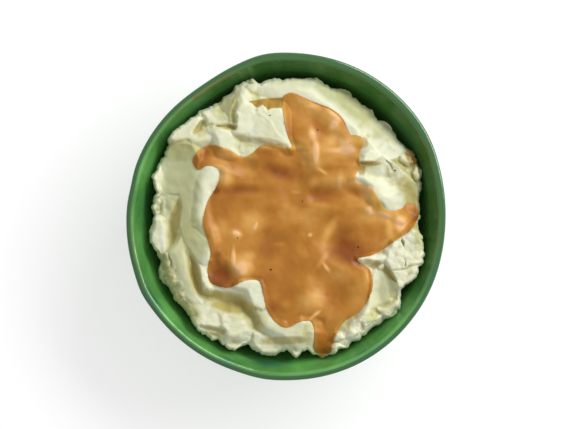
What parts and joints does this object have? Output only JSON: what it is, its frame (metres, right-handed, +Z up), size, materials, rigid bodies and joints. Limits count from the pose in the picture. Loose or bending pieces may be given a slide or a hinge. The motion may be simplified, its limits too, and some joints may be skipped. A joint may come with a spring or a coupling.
{
  "type": "mashed potato side",
  "caption": "Mound of mashed potato with brown gravy poured over it, worked into spoon swirls, in a hand-thrown green glazed bowl.",
  "frame": {"origin": "centre of the rim, seen from above, at the level of the bowl's foot", "axes": "+Z up out of the bowl, +Y towards the tall lobe of the gravy, +X towards the side where the gravy runs out to the wall"},
  "size_m": [0.1778, 0.1822, 0.0683],
  "materials": {
    "green_glaze": "gloss",
    "mash": "satin",
    "gravy": "gloss"
  },
  "bodies": {
    "root": {"bowl": "green_glaze", "mashed_potato": "mash", "gravy": "gravy"}
  },
  "joints": []
}
